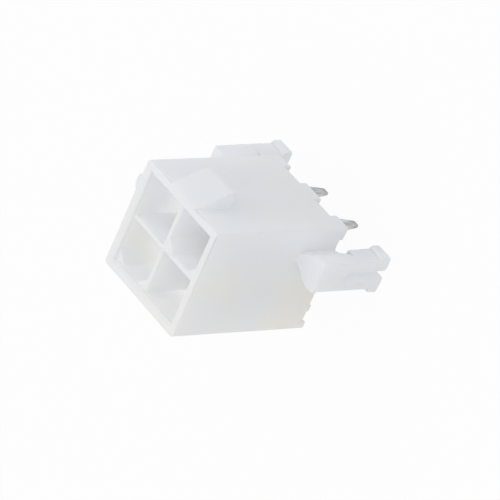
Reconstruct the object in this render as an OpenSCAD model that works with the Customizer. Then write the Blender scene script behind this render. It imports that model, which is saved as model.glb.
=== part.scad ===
// Vertical board header, four circuits in two rows: one moulded nylon housing
// with a latch ramp and two split board pegs, and four pins pressed into its floor.
// +Z runs from the board to the mating mouth and +Y to the latch side.
// The origin is the centre of the housing's seat on the board.

/* [Circuits] */
// Distance between neighbouring circuits, along and across the rows
pitch = 4.2; // [4:0.1:5]

/* [Housing] */
// Height of the mouth's rim above the board
housing_height = 13; // [11:0.5:16]
// Side of one square plug cavity
cavity_side = 3.8; // [3.4:0.05:3.85]
// Thickness of the four outer walls
outer_wall = 0.8; // [0.6:0.05:1.2]
// Cut across two corners of each keyed cavity
key_cut = 0.9; // [0.5:0.1:1.3]
// Height of the cavity floor above the board
floor_height = 2.6; // [2.2:0.1:4]
// Drop of the dividers' top edge below the rim
divider_drop = 0.3; // [0.1:0.1:1]
// Lead-in cut along the rim's inner edge
rim_lead = 0.2; // [0.1:0.05:0.4]
// Radius of the upright outer edges
corner_radius = 0.2; // [0.1:0.05:0.5]
// Cut across the upright edge at the marked end, away from the latch
corner_cut = 0.28; // [0.2:0.02:0.6]

/* [Latch ramp] */
// Width of the ramp along the row
latch_width = 3.5; // [2.5:0.1:4.5]
// Height of the ramp above its wall
latch_height = 1.4; // [0.8:0.1:2]
// Length of the sloping face, measured down from the rim
latch_slope = 2.8; // [1.5:0.1:4]
// Length of the level land behind the slope
latch_land = 0.75; // [0.4:0.05:1.5]
// Radius of the ramp's outer edges
latch_radius = 0.3; // [0.1:0.05:0.5]
// Radius of the ramp's two rear corners
latch_corner = 0.35; // [0.2:0.05:1]

/* [Circuit mark] */
// Width of the raised mark on the end wall
mark_width = 1.2; // [0.8:0.1:2]
// Height of the mark above its wall
mark_height = 0.35; // [0.2:0.05:0.6]
// Length of the mark down from the rim
mark_length = 1.6; // [1:0.1:4]
// Distance from the centre plane to the mark's centre, towards the latch
mark_offset = 2.6; // [1:0.1:3.5]

/* [Standoff feet] */
// Height of the feet that keep the floor off the board
foot_height = 0.38; // [0.26:0.02:0.5]
// Width of the feet on the latch side, across the row
latch_foot_width = 1.1; // [0.6:0.1:1.3]
// Width of the feet on the back side, across the row
back_foot_width = 0.7; // [0.6:0.1:1.3]
// Width of the rib that stands on the board under the row divider
rib_width = 1; // [0.8:0.1:1.6]
// Width of the small foot under each end wall
end_foot_width = 0.6; // [0.4:0.05:0.8]
// Setback of a small foot from its end wall's face
end_foot_setback = 0.12; // [0:0.02:0.3]
// Distance from the centre plane to a small foot's centre, away from the latch
end_foot_offset = 2.9; // [2:0.1:3.1]
// Height of the open bay round each tail
bay_height = 0.62; // [0.56:0.02:0.9]
// Width of the bay along the row
bay_width = 2.05; // [1.6:0.05:2.4]

/* [Board pegs] */
// Distance from the end wall's face to the peg's centre
peg_reach = 2.05; // [1.8:0.05:3]
// Distance from the centre plane to the peg's centre, towards the latch
peg_offset = 2.3; // [0.5:0.05:2.6]
// Thickness of the peg, along the row
peg_thickness = 1.7; // [1.2:0.1:2]
// Width of the peg, across its slot
peg_width = 2.75; // [2.4:0.05:3]
// Radius of the outer corner away from the latch, down the ear and its peg
peg_radius = 0.35; // [0.1:0.05:0.5]
// Reach of the peg below the board's top face
peg_length = 3.1; // [2.8:0.1:5]
// Width of the slot between the two prongs
slot_width = 0.9; // [0.3:0.1:1]
// Height of the slot's round end above the board
slot_top = 1.3; // [0.5:0.1:2]
// Board thickness that the barbs snap under
board_thickness = 1.6; // [1:0.1:2]
// Overhang of each barb
barb_overhang = 0.32; // [0.1:0.01:0.4]
// Length of the level land on each barb
barb_land = 0.6; // [0.3:0.1:0.7]
// Height of the ear that carries the peg
ear_height = 3.9; // [2.5:0.1:6]
// Width of the ear where it leaves the end wall
ear_neck = 0.9; // [0.7:0.1:1.6]
// Length of the ear's straight end, at the peg's full width
ear_land = 0.75; // [0.4:0.05:1.2]

/* [Pins] */
// Side of the square mating post
post_side = 1.07; // [0.8:0.01:1.2]
// Depth of the post's point below the rim
post_depth = 2.6; // [2:0.1:4]
// Length of the post's four-sided point
post_point = 1; // [0.6:0.1:1.6]
// Distance between the two rows of tails
tail_row_spacing = 5.5; // [5:0.1:6]
// Shift of both tail rows towards the latch
tail_row_shift = 0.25; // [0:0.05:0.4]
// Length of a tail below the board's top face
tail_length = 3.65; // [3:0.05:5]
// Width of a tail along the row
tail_width = 0.8; // [0.6:0.05:1]
// Thickness of a tail across the row
tail_thickness = 0.6; // [0.4:0.02:0.9]
// Length of the tail's chisel point
tail_point = 1.35; // [0.8:0.05:1.8]
// Width of the point's end
tail_end_width = 0.6; // [0.3:0.05:0.6]
// Thickness of the point's end
tail_end_thickness = 0.24; // [0.2:0.02:0.4]

/* [Hidden] */
$fn = 32;

// Gap left on each side of a pin in its hole
pin_clearance = 0.02;
// Distance that a cut runs past the face it starts from
cut = 1;
// Depth to which an added form is sunk in the wall that carries it
sink = 0.3;
// Rise of a barb's upper face, and play of the board under it
barb_rise = 0.25;
board_play = 0.1;
// Inset of the peg's tip from the shaft's faces, across the slot and along the row
tip_inset = 0.25;
tip_inset_along = 0.4;
// Length of a small foot along the row
end_foot_length = 1;
// Side of the flat left on a post's point
post_flat = 0.35;
// Height taken by a pin's bend, and the gap above it in its pocket
bend_height = 0.6;
bend_gap = 0.05;

// Side of the mouth, which spans all cavities and dividers
mouth_side = pitch + cavity_side;
// Outer side of the housing, the same both ways, and half of it
body_side = mouth_side + 2 * outer_wall;
body_half = body_side / 2;
// Centre of a peg, the height of its barbs' shoulders and the length of its ear's curved sides
peg_x = body_half + peg_reach;
barb_top = -(board_thickness + board_play);
ear_flare = peg_reach + peg_thickness / 2 - ear_land;
// Cavity floor's pocket, in which each pin bends out to its tail row
pocket_top = (floor_height + bay_height) / 2;
bend_top = pocket_top - bend_gap;
bend_bottom = bend_top - bend_height;
// Row of posts, and their point's height above the board
post_y = pitch / 2;
post_top = housing_height - post_depth;

// A list in the opposite order
function reverse(list) = [for (i = [len(list) - 1:-1:0]) list[i]];

// Distance of a row of tails from the centre plane
function tail_y(row) = tail_row_spacing / 2 + row * tail_row_shift;

// Square with rounded corners, centred
module rounded_square(side, radius) {
    square([side - 2 * radius, side], center = true);
    square([side, side - 2 * radius], center = true);
    for (x = [-1, 1], y = [-1, 1])
        translate([x, y] * (side / 2 - radius)) circle(radius);
}

// Rectangle from one height to another, centred on X, with its two top corners rounded
module tab_outline(width, bottom, top, radius) {
    translate([-width / 2, bottom]) square([width, top - radius - bottom]);
    translate([radius - width / 2, bottom]) square([width - 2 * radius, top - bottom]);
    for (x = [-1, 1])
        translate([x * (width / 2 - radius), top - radius]) circle(radius);
}

// Square that cuts a corner at the origin back by one length along both sides
module corner_cutter(leg) {
    polygon([[-leg, 0], [0, -leg], [leg, 0], [0, leg]]);
}

// Extrudes an outline drawn in (Y, Z) along X, centred on X = 0
module along_x(length) {
    rotate([90, 0, 90])
        linear_extrude(length, center = true) children();
}

// Extrudes an outline drawn in (X, Z) along Y, centred on Y = 0
module along_y(length) {
    rotate([90, 0, 0])
        linear_extrude(length, center = true) children();
}

// Repeats its child at the four circuits: $column and $row are -1 or 1
module at_circuits() {
    for ($column = [-1, 1], $row = [-1, 1])
        translate([$column * pitch / 2, 0]) children();
}

// Outline of one plug cavity: square, or with the two corners away from the latch cut off
module cavity_outline(keyed) {
    difference() {
        square(cavity_side, center = true);
        if (keyed)
            for (x = [-1, 1])
                translate([x, -1] * cavity_side / 2) corner_cutter(key_cut);
    }
}

// The hollow above the floor: four cavities, two of them keyed, under one common mouth
module plug_space() {
    at_circuits()
        translate([0, $row * post_y, floor_height])
            linear_extrude(housing_height - floor_height + cut)
                cavity_outline(keyed = $column == $row);
    translate([0, 0, housing_height - divider_drop])
        linear_extrude(divider_drop + cut) square(mouth_side, center = true);
    intersection() {
        along_x(body_side) lead_in_outline();
        along_y(body_side) lead_in_outline();
    }
}

// Section of the lead-in, 45 degrees wide open at the rim
module lead_in_outline() {
    half = mouth_side / 2;
    polygon([
        [-half, housing_height - rim_lead],
        [half, housing_height - rim_lead],
        [half + rim_lead + cut, housing_height + cut],
        [-half - rim_lead - cut, housing_height + cut],
    ]);
}

// Ramp that the plug's latch arm rides over and then hooks behind
module latch_ramp() {
    r = latch_radius;
    end = latch_slope + latch_land;
    back = [for (a = [0:15:90]) [latch_height - r + r * cos(a), r - end - r * sin(a)]];
    translate([0, body_half, housing_height])
        intersection() {
            along_x(latch_width)
                polygon(concat([[-sink, 0], [0, 0], [latch_height, -latch_slope]], back, [[-sink, -end]]));
            translate([0, 0, -end]) linear_extrude(end) tab_outline(latch_width, -sink, latch_height, r);
            mirror([0, 0, 1])
                along_y(2 * (latch_height + sink)) tab_outline(latch_width, 0, end, latch_corner);
        }
}

// Raised mark beside circuit 1, flush with the rim, with a sloping side and lower end
module circuit_mark() {
    half = mark_width / 2;
    translate([-body_half, mark_offset, housing_height])
        intersection() {
            translate([0, 0, -mark_length]) linear_extrude(mark_length)
                polygon([
                    [sink, -half], [0, -half], [-mark_height, mark_height - half],
                    [-mark_height, half], [sink, half],
                ]);
            along_y(2 * mark_width)
                polygon([
                    [sink, 0], [-mark_height, 0], [-mark_height, mark_height - mark_length],
                    [0, -mark_length], [sink, -mark_length],
                ]);
        }
}

// What touches the board: corner and middle feet, a rib across the centre, small feet at the ends
module feet_outline() {
    foot_length = body_half - pitch / 2 - bay_width / 2;
    middle_length = pitch - bay_width;
    for (side = [[1, latch_foot_width], [-1, back_foot_width]]) {
        y = side[0] * (body_half - side[1] / 2);
        translate([0, y]) square([middle_length, side[1]], center = true);
        for (x = [-1, 1])
            translate([x * (body_half - foot_length / 2), y]) square([foot_length, side[1]], center = true);
    }
    square([body_side, rib_width], center = true);
    for (x = [-1, 1])
        translate([x * (body_half - end_foot_setback - end_foot_length / 2), -end_foot_offset])
            square([end_foot_length, end_foot_width], center = true);
}

// Relief under the floor: the space between the feet, a bay round each tail and the pins' holes
module underside() {
    translate([0, 0, -cut]) linear_extrude(cut + foot_height)
        difference() {
            square(body_side + 2 * cut, center = true);
            feet_outline();
        }
    hole = post_side + 2 * pin_clearance;
    pocket_in = post_y - hole / 2;
    at_circuits() {
        pocket_out = max(tail_y($row) + tail_thickness / 2 + pin_clearance, post_y + hole / 2);
        translate([0, $row * (body_half + cut + pocket_in) / 2, bay_height / 2 - cut / 2])
            cube([bay_width, body_half + cut - pocket_in, bay_height + cut], center = true);
        translate([0, $row * (pocket_in + pocket_out) / 2, pocket_top / 2])
            cube([hole, pocket_out - pocket_in, pocket_top], center = true);
        translate([0, $row * post_y, floor_height / 2])
            cube([hole, hole, floor_height + 2 * pin_clearance], center = true);
    }
}

// Outer end of the +X peg's plan for a half width, with the corner away from the latch rounded
function peg_end(half) =
    let(r = peg_radius, x = peg_thickness / 2)
        concat([[x, half]], [for (a = [0:-15:-90]) [x - r + r * cos(a), r - half + r * sin(a)]]);

// Plan of the ear on the +X side: it widens along half a cosine wave from its neck to the peg
module ear_outline() {
    neck = ear_neck / 2;
    rise = peg_width / 2 - neck;
    curve = [for (a = [0:15:180]) [body_half + ear_flare * a / 180, neck + rise * (1 - cos(a)) / 2]];
    side = concat([[body_half - sink, neck]], curve);
    end = [for (p = peg_end(peg_width / 2)) p + [peg_x, 0]];
    polygon(concat(side, end, reverse([for (p = side) [p[0], -p[1]]])));
}

// Section of the two prongs across the row, with their barbs
module prong_outline() {
    half = peg_width / 2;
    hook = half + barb_overhang;
    hook_top = barb_top - barb_rise;
    hook_end = hook_top - barb_land;
    polygon([
        [-half, foot_height], [-half, barb_top], [-hook, hook_top], [-hook, hook_end],
        [tip_inset - half, -peg_length], [half - tip_inset, -peg_length],
        [hook, hook_end], [hook, hook_top], [half, barb_top], [half, foot_height],
    ]);
}

// Plan of the peg, centred on it, with a given half width across its slot
module peg_outline(half) {
    polygon(concat([[-peg_thickness / 2, -half], [-peg_thickness / 2, half]], peg_end(half)));
}

// Split snap-in peg on the +X side, under the ear that joins it to the end wall
module peg() {
    thick = peg_thickness / 2;
    taper_top = barb_top - barb_rise - barb_land;
    difference() {
        union() {
            translate([0, peg_offset, foot_height]) linear_extrude(ear_height - foot_height) ear_outline();
            translate([peg_x, peg_offset, 0])
                intersection() {
                    along_x(2 * peg_thickness) prong_outline();
                    along_y(2 * peg_width)
                        polygon([
                            [-thick, foot_height], [-thick, taper_top],
                            [tip_inset_along - thick, -peg_length], [thick - tip_inset_along, -peg_length],
                            [thick, taper_top], [thick, foot_height],
                        ]);
                    translate([0, 0, -peg_length]) {
                        linear_extrude(peg_length + foot_height) peg_outline(peg_width / 2);
                        linear_extrude(peg_length + barb_top) peg_outline(peg_width / 2 + barb_overhang);
                    }
                }
        }
        translate([peg_x + cut / 2, peg_offset, 0])
            along_x(peg_thickness + cut) {
                slot_end = slot_top - slot_width / 2;
                translate([0, slot_end]) circle(slot_width / 2);
                translate([-slot_width / 2, -peg_length - cut])
                    square([slot_width, peg_length + cut + slot_end]);
            }
    }
}

module housing() {
    color("whitesmoke") {
        difference() {
            union() {
                linear_extrude(housing_height)
                    difference() {
                        rounded_square(body_side, corner_radius);
                        translate([-1, -1] * body_half) corner_cutter(corner_cut);
                    }
                latch_ramp();
                circuit_mark();
            }
            plug_space();
            underside();
        }
        peg();
        mirror([1, 0, 0]) peg();
    }
}

// Pin of one circuit: square post with a four-sided point, a bend in the floor and a solder tail.
// column and row are -1 or 1. The solid is where its side and front outlines meet.
module pin(column, row) {
    neck = post_top - post_point;
    taper = tail_point - tail_length;
    tail = tail_y(row);
    // Each level of the pin: height, centre and half size across the row, half size along it
    levels = [
        [post_top, post_y, post_flat / 2, post_flat / 2],
        [neck, post_y, post_side / 2, post_side / 2],
        [bend_top, post_y, post_side / 2, post_side / 2],
        [bend_bottom, tail, tail_thickness / 2, tail_width / 2],
        [taper, tail, tail_thickness / 2, tail_width / 2],
        [-tail_length, tail, tail_end_thickness / 2, tail_end_width / 2],
    ];
    side = concat([for (l = levels) [l[1] + l[2], l[0]]], [for (l = reverse(levels)) [l[1] - l[2], l[0]]]);
    front = concat([for (l = levels) [l[3], l[0]]], [for (l = reverse(levels)) [-l[3], l[0]]]);
    color("silver")
        translate([column * pitch / 2, 0, 0])
            mirror([0, row < 0 ? 1 : 0, 0])
                intersection() {
                    along_x(2 * post_side) polygon(side);
                    along_y(4 * tail_row_spacing) polygon(front);
                }
}

housing();
pin(-1, 1);  // pin_1
pin(1, 1);  // pin_2
pin(-1, -1);  // pin_3
pin(1, -1);  // pin_4
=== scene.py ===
import math

import bmesh
import bpy
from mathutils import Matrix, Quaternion, Vector


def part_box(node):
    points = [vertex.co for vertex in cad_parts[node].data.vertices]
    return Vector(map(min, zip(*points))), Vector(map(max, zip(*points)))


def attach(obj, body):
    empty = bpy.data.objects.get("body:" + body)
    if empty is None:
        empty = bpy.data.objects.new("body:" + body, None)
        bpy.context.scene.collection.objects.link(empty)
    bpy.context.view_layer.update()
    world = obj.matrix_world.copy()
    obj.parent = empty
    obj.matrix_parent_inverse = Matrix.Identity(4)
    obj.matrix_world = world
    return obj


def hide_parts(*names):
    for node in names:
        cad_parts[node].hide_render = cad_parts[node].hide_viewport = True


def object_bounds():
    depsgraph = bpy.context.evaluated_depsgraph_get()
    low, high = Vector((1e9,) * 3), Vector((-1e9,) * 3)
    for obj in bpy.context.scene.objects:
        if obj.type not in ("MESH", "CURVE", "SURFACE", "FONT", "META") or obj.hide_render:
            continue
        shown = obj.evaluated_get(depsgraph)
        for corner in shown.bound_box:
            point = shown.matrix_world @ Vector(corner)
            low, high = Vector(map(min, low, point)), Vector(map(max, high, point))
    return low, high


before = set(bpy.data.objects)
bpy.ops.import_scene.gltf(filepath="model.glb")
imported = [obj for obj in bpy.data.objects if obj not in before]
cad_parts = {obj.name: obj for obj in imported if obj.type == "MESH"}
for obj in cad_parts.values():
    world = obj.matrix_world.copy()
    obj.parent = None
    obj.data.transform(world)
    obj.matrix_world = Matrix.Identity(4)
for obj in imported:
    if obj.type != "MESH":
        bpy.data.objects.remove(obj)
cad_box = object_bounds()

# ---------------------------------------------------------------------------
# Housing: one injection moulding in unfilled natural nylon, which is a milky,
# slightly see-through white. The mould's spark-eroded cavity leaves a fine even
# grain, and the outer edges come out with a small radius.
# ---------------------------------------------------------------------------
MM = 0.001

# Rounding of the long, sharp, outward edges between broad faces
edge_radius = 0.09 * MM
edge_steps = 3
edge_min_length = 0.55 * MM
edge_min_angle = math.radians(50)
edge_min_breadth = 2.2 * edge_radius
weld_gap = 0.002 * MM
flat_angle = math.radians(0.4)
smooth_angle = math.radians(28)
broad_face_weight = 100

# Two faces above this size that meet at this angle are a rounding that folded over
fold_angle = math.radians(107)
fold_area = 0.008 * MM * MM
fold_reach = 0.25 * MM
fold_rounds = 6


def add_object(name, data):
    """Makes an object of a mesh, lamp or camera and puts it into the scene."""
    made = bpy.data.objects.new(name, data)
    bpy.context.scene.collection.objects.link(made)
    return made


def welded_copy(node, name):
    """A CAD node's mesh as one closed skin, with its flat faces rejoined."""
    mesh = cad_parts[node].data.copy()
    mesh.name = name
    mesh.materials.clear()
    work = bmesh.new()
    work.from_mesh(mesh)
    bmesh.ops.remove_doubles(work, verts=work.verts, dist=weld_gap)
    bmesh.ops.dissolve_limit(
        work, angle_limit=flat_angle, verts=work.verts, edges=work.edges
    )
    work.to_mesh(mesh)
    work.free()
    return add_object(name, mesh)


def breadth(face):
    """Mean width of a face, which is the true width of a long strip."""
    return 2 * face.calc_area() / face.calc_perimeter()


def mark_edges(mesh):
    """Marks the long, sharp, outward edges between broad faces, which are to be rounded."""
    work = bmesh.new()
    work.from_mesh(mesh)
    weight = work.edges.layers.float.new("bevel_weight_edge")
    for edge in work.edges:
        if len(edge.link_faces) != 2 or edge.calc_length() < edge_min_length:
            continue
        broad = min(breadth(face) for face in edge.link_faces) > edge_min_breadth
        if broad and edge.calc_face_angle() > edge_min_angle and edge.is_convex:
            edge[weight] = 1.0
    work.to_mesh(mesh)
    work.free()


def apply_modifiers(piece):
    """Makes the modified mesh the piece's own plain mesh."""
    bpy.context.view_layer.update()
    shown = piece.evaluated_get(bpy.context.evaluated_depsgraph_get())
    done = bpy.data.meshes.new_from_object(shown)
    piece.modifiers.clear()
    old = piece.data
    piece.data = done
    bpy.data.meshes.remove(old)


def shade_but_for_corners(mesh):
    """Shades a mesh smooth, and keeps its corners sharp."""
    mesh.shade_smooth()
    mesh.set_sharp_from_angle(angle=smooth_angle)


def join_doubles(mesh):
    """Welds the points that rounding left on top of each other, so that the skin stays closed."""
    work = bmesh.new()
    work.from_mesh(mesh)
    bmesh.ops.remove_doubles(work, verts=work.verts, dist=weld_gap)
    bmesh.ops.dissolve_degenerate(work, dist=weld_gap, edges=work.edges)
    work.to_mesh(mesh)
    work.free()


def folds(mesh):
    """Middles of the edges at which the skin turns back on itself."""
    work = bmesh.new()
    work.from_mesh(mesh)
    found = [
        (edge.verts[0].co + edge.verts[1].co) / 2
        for edge in work.edges
        if len(edge.link_faces) == 2
        and edge.calc_face_angle() > fold_angle
        and min(face.calc_area() for face in edge.link_faces) > fold_area
    ]
    work.free()
    return found


def keep_sharp_near(mesh, points):
    """Unmarks the edges that end close to any of the points."""
    work = bmesh.new()
    work.from_mesh(mesh)
    weight = work.edges.layers.float["bevel_weight_edge"]
    for edge in work.edges:
        if edge[weight] and any(
            (end.co - point).length < fold_reach for end in edge.verts for point in points
        ):
            edge[weight] = 0.0
    work.to_mesh(mesh)
    work.free()


def round_edges(piece):
    """Rounds the marked edges, apart from those whose rounding would fold over."""
    for _ in range(fold_rounds):
        marked = piece.data.copy()
        bevel = piece.modifiers.new("edges", "BEVEL")
        bevel.limit_method = "WEIGHT"
        bevel.width = edge_radius
        bevel.segments = edge_steps
        bevel.use_clamp_overlap = False
        bevel.miter_outer = "MITER_ARC"
        shade_but_for_corners(piece.data)
        apply_modifiers(piece)
        join_doubles(piece.data)
        folded = folds(piece.data)
        if not folded:
            break
        keep_sharp_near(marked, folded)
        piece.data = marked
    # The broad faces stay flat right up to the rounded edges
    flat = piece.modifiers.new("flat", "WEIGHTED_NORMAL")
    flat.weight = broad_face_weight
    flat.keep_sharp = True
    apply_modifiers(piece)


def hold_inside(piece, low, high):
    """Brings back the few points that rounding pushed a hair past the piece's own box."""
    for point in piece.data.vertices:
        point.co = [min(max(at, least), most) for at, least, most in zip(point.co, low, high)]


housing = welded_copy("housing", "moulded_housing")
mark_edges(housing.data)
round_edges(housing)
hold_inside(housing, *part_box("housing"))

# Borders of the body, its cavities, its floor and its pegs, and the heights over
# which the nylon thickens and the cavities grow dim, each from start to end
body_half = 4.8 * MM
floor_top = 2.6 * MM
body_border = (body_half + 0.2 * MM, body_half)
well_border = (body_half - 0.1 * MM, body_half - 0.6 * MM)
floor_border = (floor_top - 0.2 * MM, floor_top - 0.1 * MM)
peg_border = (body_half, body_half + 0.3 * MM)
thin_to_thick = (6.0 * MM, 1.5 * MM)
bright_to_dim = (13.0 * MM, 7.5 * MM)

# How thick each region seems, as a share of the thickness of the floor
upper_depth = 0.5
# Painted shade: the side away from the lamp keeps the full warm tint and the latch side under the
# lamp keeps only this share of it
lamp_side_painted_warmth = 0.15
well_depth = 0.7
mottle_scale = 260.0
mottle_from = (0.35, 0.65)
mottle_depth = (-0.2, 0.2)

# Colours of thin and of thick nylon, of its surface and of the light that it lets through; the
# thin colours also paint cool lamp light on the latch side, and the thick ones a warm painted
# shade on the side away from the lamp
thin_and_painted_lit_colour = (0.905, 0.935, 0.992, 1)
thick_and_painted_shade_colour = (0.965, 0.947, 0.9, 1)
thin_and_painted_lit_milk = (0.959, 0.966, 0.982, 1)
thick_and_painted_shade_milk = (0.985, 0.971, 0.915, 1)

# Share of the light that a skin lets through
outer_share = 0.17
peg_share = 0.35
well_share = 0.9

# Light that spreads in the nylon, and the grain of its surface
nylon_ior = 1.53
spread_share = 0.4
spread_radii = (1.0, 1.0, 0.95)
spread_reach = 1.0 * MM
grain_scale = 14000.0
grain_roughness = (0.4, 0.52)
grain_strength = 0.12
grain_height = 0.02 * MM


def new_material(name):
    """A new material, with its tree of nodes and its main shader."""
    material = bpy.data.materials.new(name)
    material.use_nodes = True
    return material, material.node_tree, material.node_tree.nodes["Principled BSDF"]


def node_of(tree, kind, **sockets):
    """Adds a shader node and sets the named inputs."""
    made = tree.nodes.new(kind)
    for name, value in sockets.items():
        made.inputs[name.replace("_", " ")].default_value = value
    return made


def put(tree, socket, value):
    """Sets a socket to a number, or links it to the output of another node."""
    if isinstance(value, (int, float)):
        socket.default_value = value
    else:
        tree.links.new(value, socket)


def combine(tree, operation, first, second):
    """One step of arithmetic on two sockets, or on a socket and a number."""
    made = tree.nodes.new("ShaderNodeMath")
    made.operation = operation
    put(tree, made.inputs[0], first)
    put(tree, made.inputs[1], second)
    return made.outputs[0]


def fade(tree, value, start, end, to_start=0.0, to_end=1.0):
    """Goes smoothly from one number to another as a value passes from start to end."""
    made = node_of(
        tree, "ShaderNodeMapRange",
        From_Min=start, From_Max=end, To_Min=to_start, To_Max=to_end,
    )
    made.interpolation_type = "SMOOTHSTEP"
    tree.links.new(value, made.inputs["Value"])
    return made.outputs["Result"]


def blend(tree, share, first, second):
    """Mixes two colours, the second one in full where the share is 1."""
    made = node_of(tree, "ShaderNodeMix")
    made.data_type = "RGBA"
    tree.links.new(share, made.inputs[0])
    made.inputs[6].default_value = first
    made.inputs[7].default_value = second
    return made.outputs[2]


def mix_shaders(tree, share, first, second):
    """Mixes two shaders, the second one in full where the share is 1."""
    made = node_of(tree, "ShaderNodeMixShader")
    for socket, output in zip(made.inputs, (share, first, second)):
        tree.links.new(output, socket)
    return made.outputs[0]


def roughen(tree, shader, pattern, roughness, strength, height):
    """Lets a fine pattern vary a shader's roughness and raise its surface."""
    rough = node_of(tree, "ShaderNodeMapRange", To_Min=roughness[0], To_Max=roughness[1])
    tree.links.new(pattern, rough.inputs["Value"])
    tree.links.new(rough.outputs["Result"], shader.inputs["Roughness"])
    bump = node_of(tree, "ShaderNodeBump", Strength=strength, Distance=height)
    tree.links.new(pattern, bump.inputs["Height"])
    tree.links.new(bump.outputs["Normal"], shader.inputs["Normal"])


def nylon():
    """Natural nylon: light sinks in and spreads, with a fine eroded grain on top."""
    material, tree, shader = new_material("natural_nylon")
    link = tree.links.new
    place = node_of(tree, "ShaderNodeTexCoord").outputs["Object"]
    axes = node_of(tree, "ShaderNodeSeparateXYZ")
    link(place, axes.inputs[0])
    x, y, z = (axes.outputs[axis] for axis in "XYZ")
    across = combine(tree, "ABSOLUTE", x, 0.0)
    along = combine(tree, "ABSOLUTE", y, 0.0)
    reach = combine(tree, "MAXIMUM", across, along)
    above_floor = fade(tree, z, *floor_border)
    well = combine(tree, "MULTIPLY", above_floor, fade(tree, reach, *well_border))

    # Thick floor and corners look warm and milky, thin walls and pegs cooler and clearer;
    # besides, a warm painted shade lies on the side away from the lamp, and the latch side under
    # the lamp is painted cooler
    depth_and_painted_shade = fade(tree, z, *thin_to_thick, upper_depth, 1.0)
    for factor in (
        fade(tree, reach, *body_border),
        # Painted shade: warm away from the lamp, cool on the latch side under it
        fade(tree, y, body_half, 0.0, lamp_side_painted_warmth, 1.0),
        fade(tree, well, 0.0, 1.0, 1.0, well_depth),
    ):
        depth_and_painted_shade = combine(tree, "MULTIPLY", depth_and_painted_shade, factor)
    cloud = node_of(
        tree, "ShaderNodeTexNoise", Scale=mottle_scale, Detail=2.0, Roughness=0.5
    )
    link(place, cloud.inputs["Vector"])
    mottle = fade(tree, cloud.outputs["Fac"], *mottle_from, *mottle_depth)
    depth_and_painted_shade = combine(tree, "ADD", depth_and_painted_shade, mottle)
    link(blend(tree, depth_and_painted_shade, thin_and_painted_lit_colour, thick_and_painted_shade_colour), shader.inputs["Base Color"])

    grain = node_of(tree, "ShaderNodeTexNoise", Scale=grain_scale, Detail=3.0, Roughness=0.6)
    link(place, grain.inputs["Vector"])
    roughen(
        tree, shader, grain.outputs["Fac"], grain_roughness, grain_strength, grain_height
    )
    shader.inputs["IOR"].default_value = nylon_ior
    shader.inputs["Subsurface Weight"].default_value = spread_share
    shader.inputs["Subsurface Radius"].default_value = spread_radii
    shader.inputs["Subsurface Scale"].default_value = spread_reach

    # The cavities glow with what the walls let through, the pegs less so and the outside
    # least, and light that has sunk in leaves at the next skin it meets
    milk = node_of(tree, "ShaderNodeBsdfTranslucent")
    # The light let through takes the same tint, painted shade included
    link(blend(tree, depth_and_painted_shade, thin_and_painted_lit_milk, thick_and_painted_shade_milk), milk.inputs["Color"])
    deep_well = combine(tree, "MULTIPLY", well, fade(tree, z, *bright_to_dim))
    share = combine(
        tree, "MAXIMUM",
        fade(tree, across, *peg_border, outer_share, peg_share),
        fade(tree, deep_well, 0.0, 1.0, outer_share, well_share),
    )
    from_inside = node_of(tree, "ShaderNodeNewGeometry").outputs["Backfacing"]
    share = combine(tree, "MAXIMUM", share, from_inside)
    surface = mix_shaders(tree, share, shader.outputs[0], milk.outputs[0])
    link(surface, tree.nodes["Material Output"].inputs["Surface"])
    return material


housing.data.materials.clear()
housing.data.materials.append(nylon())
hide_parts("housing")
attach(housing, "root")

# ---------------------------------------------------------------------------
# Pins: four square brass posts, bright tin plated, pressed up through the floor
# and bent out to the rows of board holes. Each has a four-sided mating point and
# a solder tail that is flattened and ends in a coined chisel point.
# ---------------------------------------------------------------------------
pin_nodes = ("pin_1", "pin_2", "pin_3", "pin_4")
pin_sizes = {
    "Pitch": 4.2 * MM,
    "Post Side": 1.07 * MM,
    "Post Top": 10.4 * MM,
    "Post Point": 1.0 * MM,
    "Post Flat": 0.35 * MM,
    "Bend Top": 1.56 * MM,
    "Bend Height": 0.6 * MM,
    "Tail Width": 0.8 * MM,
    "Tail Thickness": 0.6 * MM,
    "Tail Length": 3.65 * MM,
    "Tail Point": 1.35 * MM,
    "Tail End Width": 0.6 * MM,
    "Tail End Thickness": 0.24 * MM,
    "Latch Row Tails": 3.0 * MM,
    "Back Row Tails": -2.5 * MM,
}
pin_levels = 6
pins_in_row = 2
pin_edge = 0.04 * MM
pin_edge_steps = 2
pin_edge_min_angle = math.radians(20)


class Steps:
    """Writes arithmetic into a Geometry Nodes tree."""

    def __init__(self, tree):
        self.tree = tree

    def node(self, kind, **settings):
        """Adds a node and sets what it does."""
        made = self.tree.nodes.new(kind)
        for name, value in settings.items():
            setattr(made, name, value)
        return made

    def put(self, socket, value):
        """Sets a socket to a number, or links it to another node."""
        put(self.tree, socket, value)

    def maths(self, operation, first, second):
        """One step of arithmetic."""
        return combine(self.tree, operation, first, second)

    def place(self, x, y, z):
        """A position from its three coordinates."""
        made = self.node("ShaderNodeCombineXYZ")
        for socket, value in zip(made.inputs, (x, y, z)):
            self.put(socket, value)
        return made.outputs[0]

    def pick(self, index, values):
        """The value that stands at an index in a list."""
        made = self.node("GeometryNodeIndexSwitch", data_type="FLOAT")
        while len(made.index_switch_items) < len(values):
            made.index_switch_items.new()
        self.put(made.inputs["Index"], index)
        for item, value in enumerate(values):
            self.put(made.inputs[item + 1], value)
        return made.outputs[0]


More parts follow.
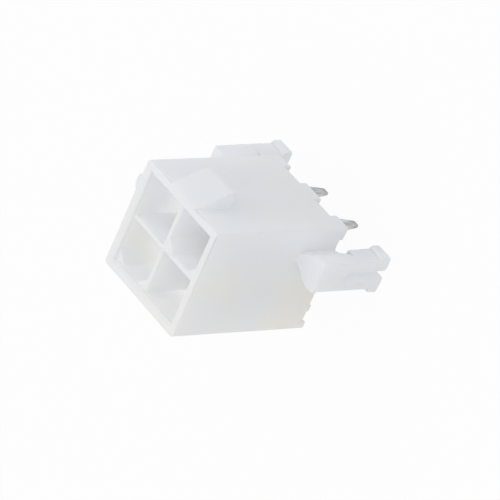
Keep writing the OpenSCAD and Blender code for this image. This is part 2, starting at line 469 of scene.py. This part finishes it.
def square_pin():
    """One pin round the Z axis: a column of four sides whose levels take the pin's sizes."""
    tree = bpy.data.node_groups.new("square_pin", "GeometryNodeTree")
    for name in [*pin_sizes, "Tail Offset"]:
        tree.interface.new_socket(name, in_out="INPUT", socket_type="NodeSocketFloat")
    tree.interface.new_socket("Pin", in_out="OUTPUT", socket_type="NodeSocketGeometry")
    steps = Steps(tree)
    size = steps.node("NodeGroupInput").outputs
    column = steps.node("GeometryNodeMeshCube")
    column.inputs["Size"].default_value = (1, 1, 1)
    column.inputs["Vertices Z"].default_value = pin_levels
    where = steps.node("ShaderNodeSeparateXYZ")
    steps.put(where.inputs[0], steps.node("GeometryNodeInputPosition").outputs[0])
    height = steps.maths("ADD", where.outputs["Z"], 0.5)
    level = steps.maths("ROUND", steps.maths("MULTIPLY", height, pin_levels - 1), 0)

    # From below: the end and the root of the tail's point, the foot and the top of the
    # bend, the root and the end of the post's point
    tail_end = steps.maths("MULTIPLY", size["Tail Length"], -1)
    heights = [
        tail_end,
        steps.maths("ADD", tail_end, size["Tail Point"]),
        steps.maths("SUBTRACT", size["Bend Top"], size["Bend Height"]),
        size["Bend Top"],
        steps.maths("SUBTRACT", size["Post Top"], size["Post Point"]),
        size["Post Top"],
    ]
    post = [size["Post Side"]] * 2 + [size["Post Flat"]]
    widths = [size["Tail End Width"]] + [size["Tail Width"]] * 2 + post
    depths = [size["Tail End Thickness"]] + [size["Tail Thickness"]] * 2 + post
    offsets = [size["Tail Offset"]] * 3 + [0.0] * 3
    deep = steps.maths("MULTIPLY", where.outputs["Y"], steps.pick(level, depths))
    shaped = steps.node("GeometryNodeSetPosition")
    steps.put(shaped.inputs["Geometry"], column.outputs["Mesh"])
    steps.put(shaped.inputs["Position"], steps.place(
        steps.maths("MULTIPLY", where.outputs["X"], steps.pick(level, widths)),
        steps.maths("ADD", deep, steps.pick(level, offsets)),
        steps.pick(level, heights),
    ))
    steps.put(steps.node("NodeGroupOutput").inputs[0], shaped.outputs[0])
    return tree


def pin_set(material):
    """Two rows of pins at the pitch, each row with its own offset to its tails."""
    tree = bpy.data.node_groups.new("pin_set", "GeometryNodeTree")
    for name, value in pin_sizes.items():
        socket = tree.interface.new_socket(name, in_out="INPUT", socket_type="NodeSocketFloat")
        socket.default_value = value
    tree.interface.new_socket("Pins", in_out="OUTPUT", socket_type="NodeSocketGeometry")
    steps = Steps(tree)
    size = steps.node("NodeGroupInput").outputs
    one_pin = square_pin()
    half_pitch = steps.maths("MULTIPLY", size["Pitch"], 0.5)
    rows = steps.node("GeometryNodeJoinGeometry")
    for row, tails in ((-1, "Back Row Tails"), (1, "Latch Row Tails")):
        post_y = steps.maths("MULTIPLY", half_pitch, row)
        line = steps.node("GeometryNodeMeshLine")
        line.inputs["Count"].default_value = pins_in_row
        start = steps.place(steps.maths("MULTIPLY", half_pitch, -1), post_y, 0.0)
        steps.put(line.inputs["Start Location"], start)
        steps.put(line.inputs["Offset"], steps.place(size["Pitch"], 0.0, 0.0))
        pin = steps.node("GeometryNodeGroup", node_tree=one_pin)
        for name in pin_sizes:
            steps.put(pin.inputs[name], size[name])
        steps.put(pin.inputs["Tail Offset"], steps.maths("SUBTRACT", size[tails], post_y))
        copies = steps.node("GeometryNodeInstanceOnPoints")
        steps.put(copies.inputs["Points"], line.outputs["Mesh"])
        steps.put(copies.inputs["Instance"], pin.outputs[0])
        steps.put(rows.inputs[0], copies.outputs[0])
    real = steps.node("GeometryNodeRealizeInstances")
    steps.put(real.inputs[0], rows.outputs[0])
    plated = steps.node("GeometryNodeSetMaterial")
    plated.inputs["Material"].default_value = material
    steps.put(plated.inputs["Geometry"], real.outputs[0])
    steps.put(steps.node("NodeGroupOutput").inputs[0], plated.outputs[0])
    return tree


# Tin: two tones in lines drawn out along the pin, and cut ends that are duller
tin_tones = (
    (0.38, (0.42, 0.43, 0.445, 1)),
    (0.62, (0.68, 0.69, 0.7, 1)),
)
line_scale = 5000.0
line_stretch = (1.0, 1.0, 0.15)
line_roughness = (0.34, 0.5)
line_strength = 0.1
line_height = 0.01 * MM
cut_end_tone = 0.7
cut_end_length = 0.9 * MM


def tin_plate():
    """Bright tin over brass, with fine lines drawn along the pin."""
    material, tree, shader = new_material("tin_plate")
    link = tree.links.new
    place = node_of(tree, "ShaderNodeTexCoord").outputs["Object"]
    stretch = node_of(tree, "ShaderNodeMapping", Scale=line_stretch)
    link(place, stretch.inputs["Vector"])
    lines = node_of(tree, "ShaderNodeTexNoise", Scale=line_scale, Detail=4.0)
    link(stretch.outputs["Vector"], lines.inputs["Vector"])
    roughen(tree, shader, lines.outputs["Fac"], line_roughness, line_strength, line_height)
    tone = node_of(tree, "ShaderNodeValToRGB")
    for stop, (position, colour) in zip(tone.color_ramp.elements, tin_tones):
        stop.position = position
        stop.color = colour
    link(lines.outputs["Fac"], tone.inputs["Fac"])

    # The points were cut from the strip after plating, so they are duller
    axes = node_of(tree, "ShaderNodeSeparateXYZ")
    link(place, axes.inputs[0])
    tail_end = -pin_sizes["Tail Length"]
    cut_ends = (tail_end, tail_end + cut_end_length)
    wear = fade(tree, axes.outputs["Z"], *cut_ends, cut_end_tone, 1.0)
    worn = node_of(tree, "ShaderNodeMix")
    worn.data_type = "RGBA"
    worn.blend_type = "MULTIPLY"
    worn.inputs[0].default_value = 1.0
    link(tone.outputs["Color"], worn.inputs[6])
    link(wear, worn.inputs[7])
    link(worn.outputs[2], shader.inputs["Base Color"])
    shader.inputs["Metallic"].default_value = 1.0
    return material


pins = add_object("tinned_pins", bpy.data.meshes.new("tinned_pins"))
maker = pins.modifiers.new("pins", "NODES")
maker.node_group = pin_set(tin_plate())
for item in maker.node_group.interface.items_tree:
    if item.in_out == "INPUT":
        maker[item.identifier] = pin_sizes[item.name]
edges = pins.modifiers.new("edges", "BEVEL")
edges.width = pin_edge
edges.segments = pin_edge_steps
edges.limit_method = "ANGLE"
edges.angle_limit = pin_edge_min_angle
apply_modifiers(pins)
shade_but_for_corners(pins.data)
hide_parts(*pin_nodes)
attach(pins, "root")

# ---------------------------------------------------------------------------
# Studio: a white table under the header, an even white room and one large soft
# lamp over the latch side.
# ---------------------------------------------------------------------------
plain_white = (1, 1, 1, 1)
room_light = 0.83
floor_gap = 0.05 * MM
floor_half = 0.6
floor_colour = (0.8, 0.8, 0.8, 1)
floor_roughness = 0.9
floor_white = 0.95
lamp_power = 0.12
lamp_colour = (0.85, 0.93, 1.0)
lamp_size = 0.35
lamp_from = Vector((-0.10, 0.30, 0.34))


def white_to_camera(tree, plain, white, strength):
    """Mixes a share of white light into what the camera, gloss and clear parts see."""
    rays = node_of(tree, "ShaderNodeLightPath").outputs
    seen = combine(tree, "MAXIMUM", rays["Is Camera Ray"], rays["Is Glossy Ray"])
    seen = combine(tree, "MAXIMUM", seen, rays["Is Transmission Ray"])
    return mix_shaders(tree, combine(tree, "MULTIPLY", seen, strength), plain, white)


world = bpy.data.worlds.new("room")
bpy.context.scene.world = world
world.use_nodes = True
room = world.node_tree
room.nodes.clear()
dim = node_of(room, "ShaderNodeBackground", Color=plain_white, Strength=room_light)
full = node_of(room, "ShaderNodeBackground", Color=plain_white, Strength=1.0)
seen_room = white_to_camera(room, dim.outputs[0], full.outputs[0], 1.0)
room.links.new(seen_room, node_of(room, "ShaderNodeOutputWorld").inputs["Surface"])

low, high = cad_box
floor_z = low.z - floor_gap
floor_mesh = bpy.data.meshes.new("table")
corners = [
    (x * floor_half, y * floor_half, floor_z) for x, y in ((-1, -1), (1, -1), (1, 1), (-1, 1))
]
floor_mesh.from_pydata(corners, [], [(0, 1, 2, 3)])
floor = add_object("table", floor_mesh)
table, top, matt = new_material("white_table")
matt.inputs["Base Color"].default_value = floor_colour
matt.inputs["Roughness"].default_value = floor_roughness
glow = node_of(top, "ShaderNodeEmission", Color=plain_white, Strength=1.0)
seen_top = white_to_camera(top, matt.outputs[0], glow.outputs[0], floor_white)
# The table can be looked through from below, so that the underside shows
below = node_of(top, "ShaderNodeNewGeometry").outputs["Backfacing"]
clear = node_of(top, "ShaderNodeBsdfTransparent").outputs[0]
open_below = mix_shaders(top, below, seen_top, clear)
top.links.new(open_below, top.nodes["Material Output"].inputs["Surface"])
floor_mesh.materials.append(table)

lamp = bpy.data.lights.new("soft_box", "AREA")
lamp.shape = "SQUARE"
lamp.size = lamp_size
lamp.energy = lamp_power
lamp.color = lamp_colour
soft_box = add_object("soft_box", lamp)
soft_box.location = (low + high) / 2 + lamp_from
soft_box.rotation_euler = lamp_from.to_track_quat("Z", "Y").to_euler()

# ---------------------------------------------------------------------------
# Camera: a long lens, looking down on the mouth, the latch side and one end,
# and rolled so that the mouth points left.
# ---------------------------------------------------------------------------
camera_bearing = math.radians(38.74)
camera_elevation = math.radians(40.65)
camera_roll = math.radians(-93.11)
camera_distance = 0.3933
camera_lens = 373.25
camera_sensor = 36.0
camera_nearest = 0.01
camera_farthest = 10.0
aim = Vector((1.18, 0.30, 5.11)) * MM

level = math.cos(camera_elevation)
towards = Vector((
    level * math.cos(camera_bearing),
    level * math.sin(camera_bearing),
    math.sin(camera_elevation),
))
shot = bpy.data.cameras.new("camera")
shot.sensor_width = camera_sensor
shot.lens = camera_lens
shot.clip_start = camera_nearest
shot.clip_end = camera_farthest
camera = add_object("camera", shot)
camera.rotation_mode = "QUATERNION"
rolled = Quaternion((0, 0, 1), camera_roll)
camera.rotation_quaternion = towards.to_track_quat("Z", "Y") @ rolled
camera.location = aim + towards * camera_distance
bpy.context.scene.camera = camera
bpy.context.scene.view_settings.view_transform = "Standard"
